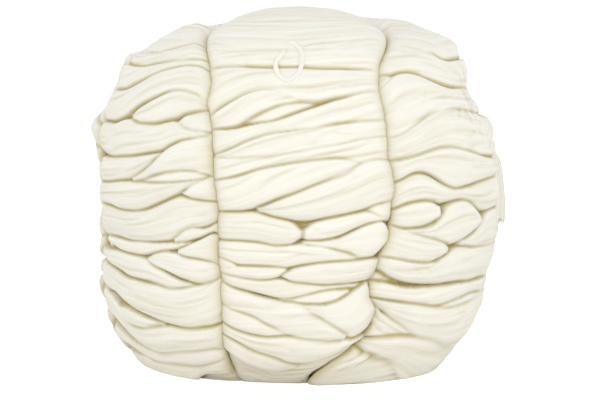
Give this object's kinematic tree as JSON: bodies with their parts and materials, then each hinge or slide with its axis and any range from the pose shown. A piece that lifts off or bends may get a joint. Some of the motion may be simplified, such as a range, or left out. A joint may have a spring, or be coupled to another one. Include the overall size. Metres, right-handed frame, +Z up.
{
  "type": "wool roving bump",
  "caption": "Large bump of undyed combed wool roving, wound in level turns and drawn in to upright lobes by tie loops, with a loose end and a small curled wisp.",
  "frame": {"origin": "middle of the underside, on the surface that the bump stands on", "axes": "+Z up along the winding axis; -Y towards the front lobe, which carries the wisp; +X to the side of the loose end"},
  "size_m": [0.4552, 0.4398, 0.3858],
  "materials": {
    "wool": "matte combed wool",
    "string": "matte twisted string"
  },
  "bodies": {
    "root": {"wool_body": "wool", "loose_end": "wool", "wisp": "wool", "tie_front_left": "string", "tie_front_right": "string", "tie_side": "string"}
  },
  "joints": []
}
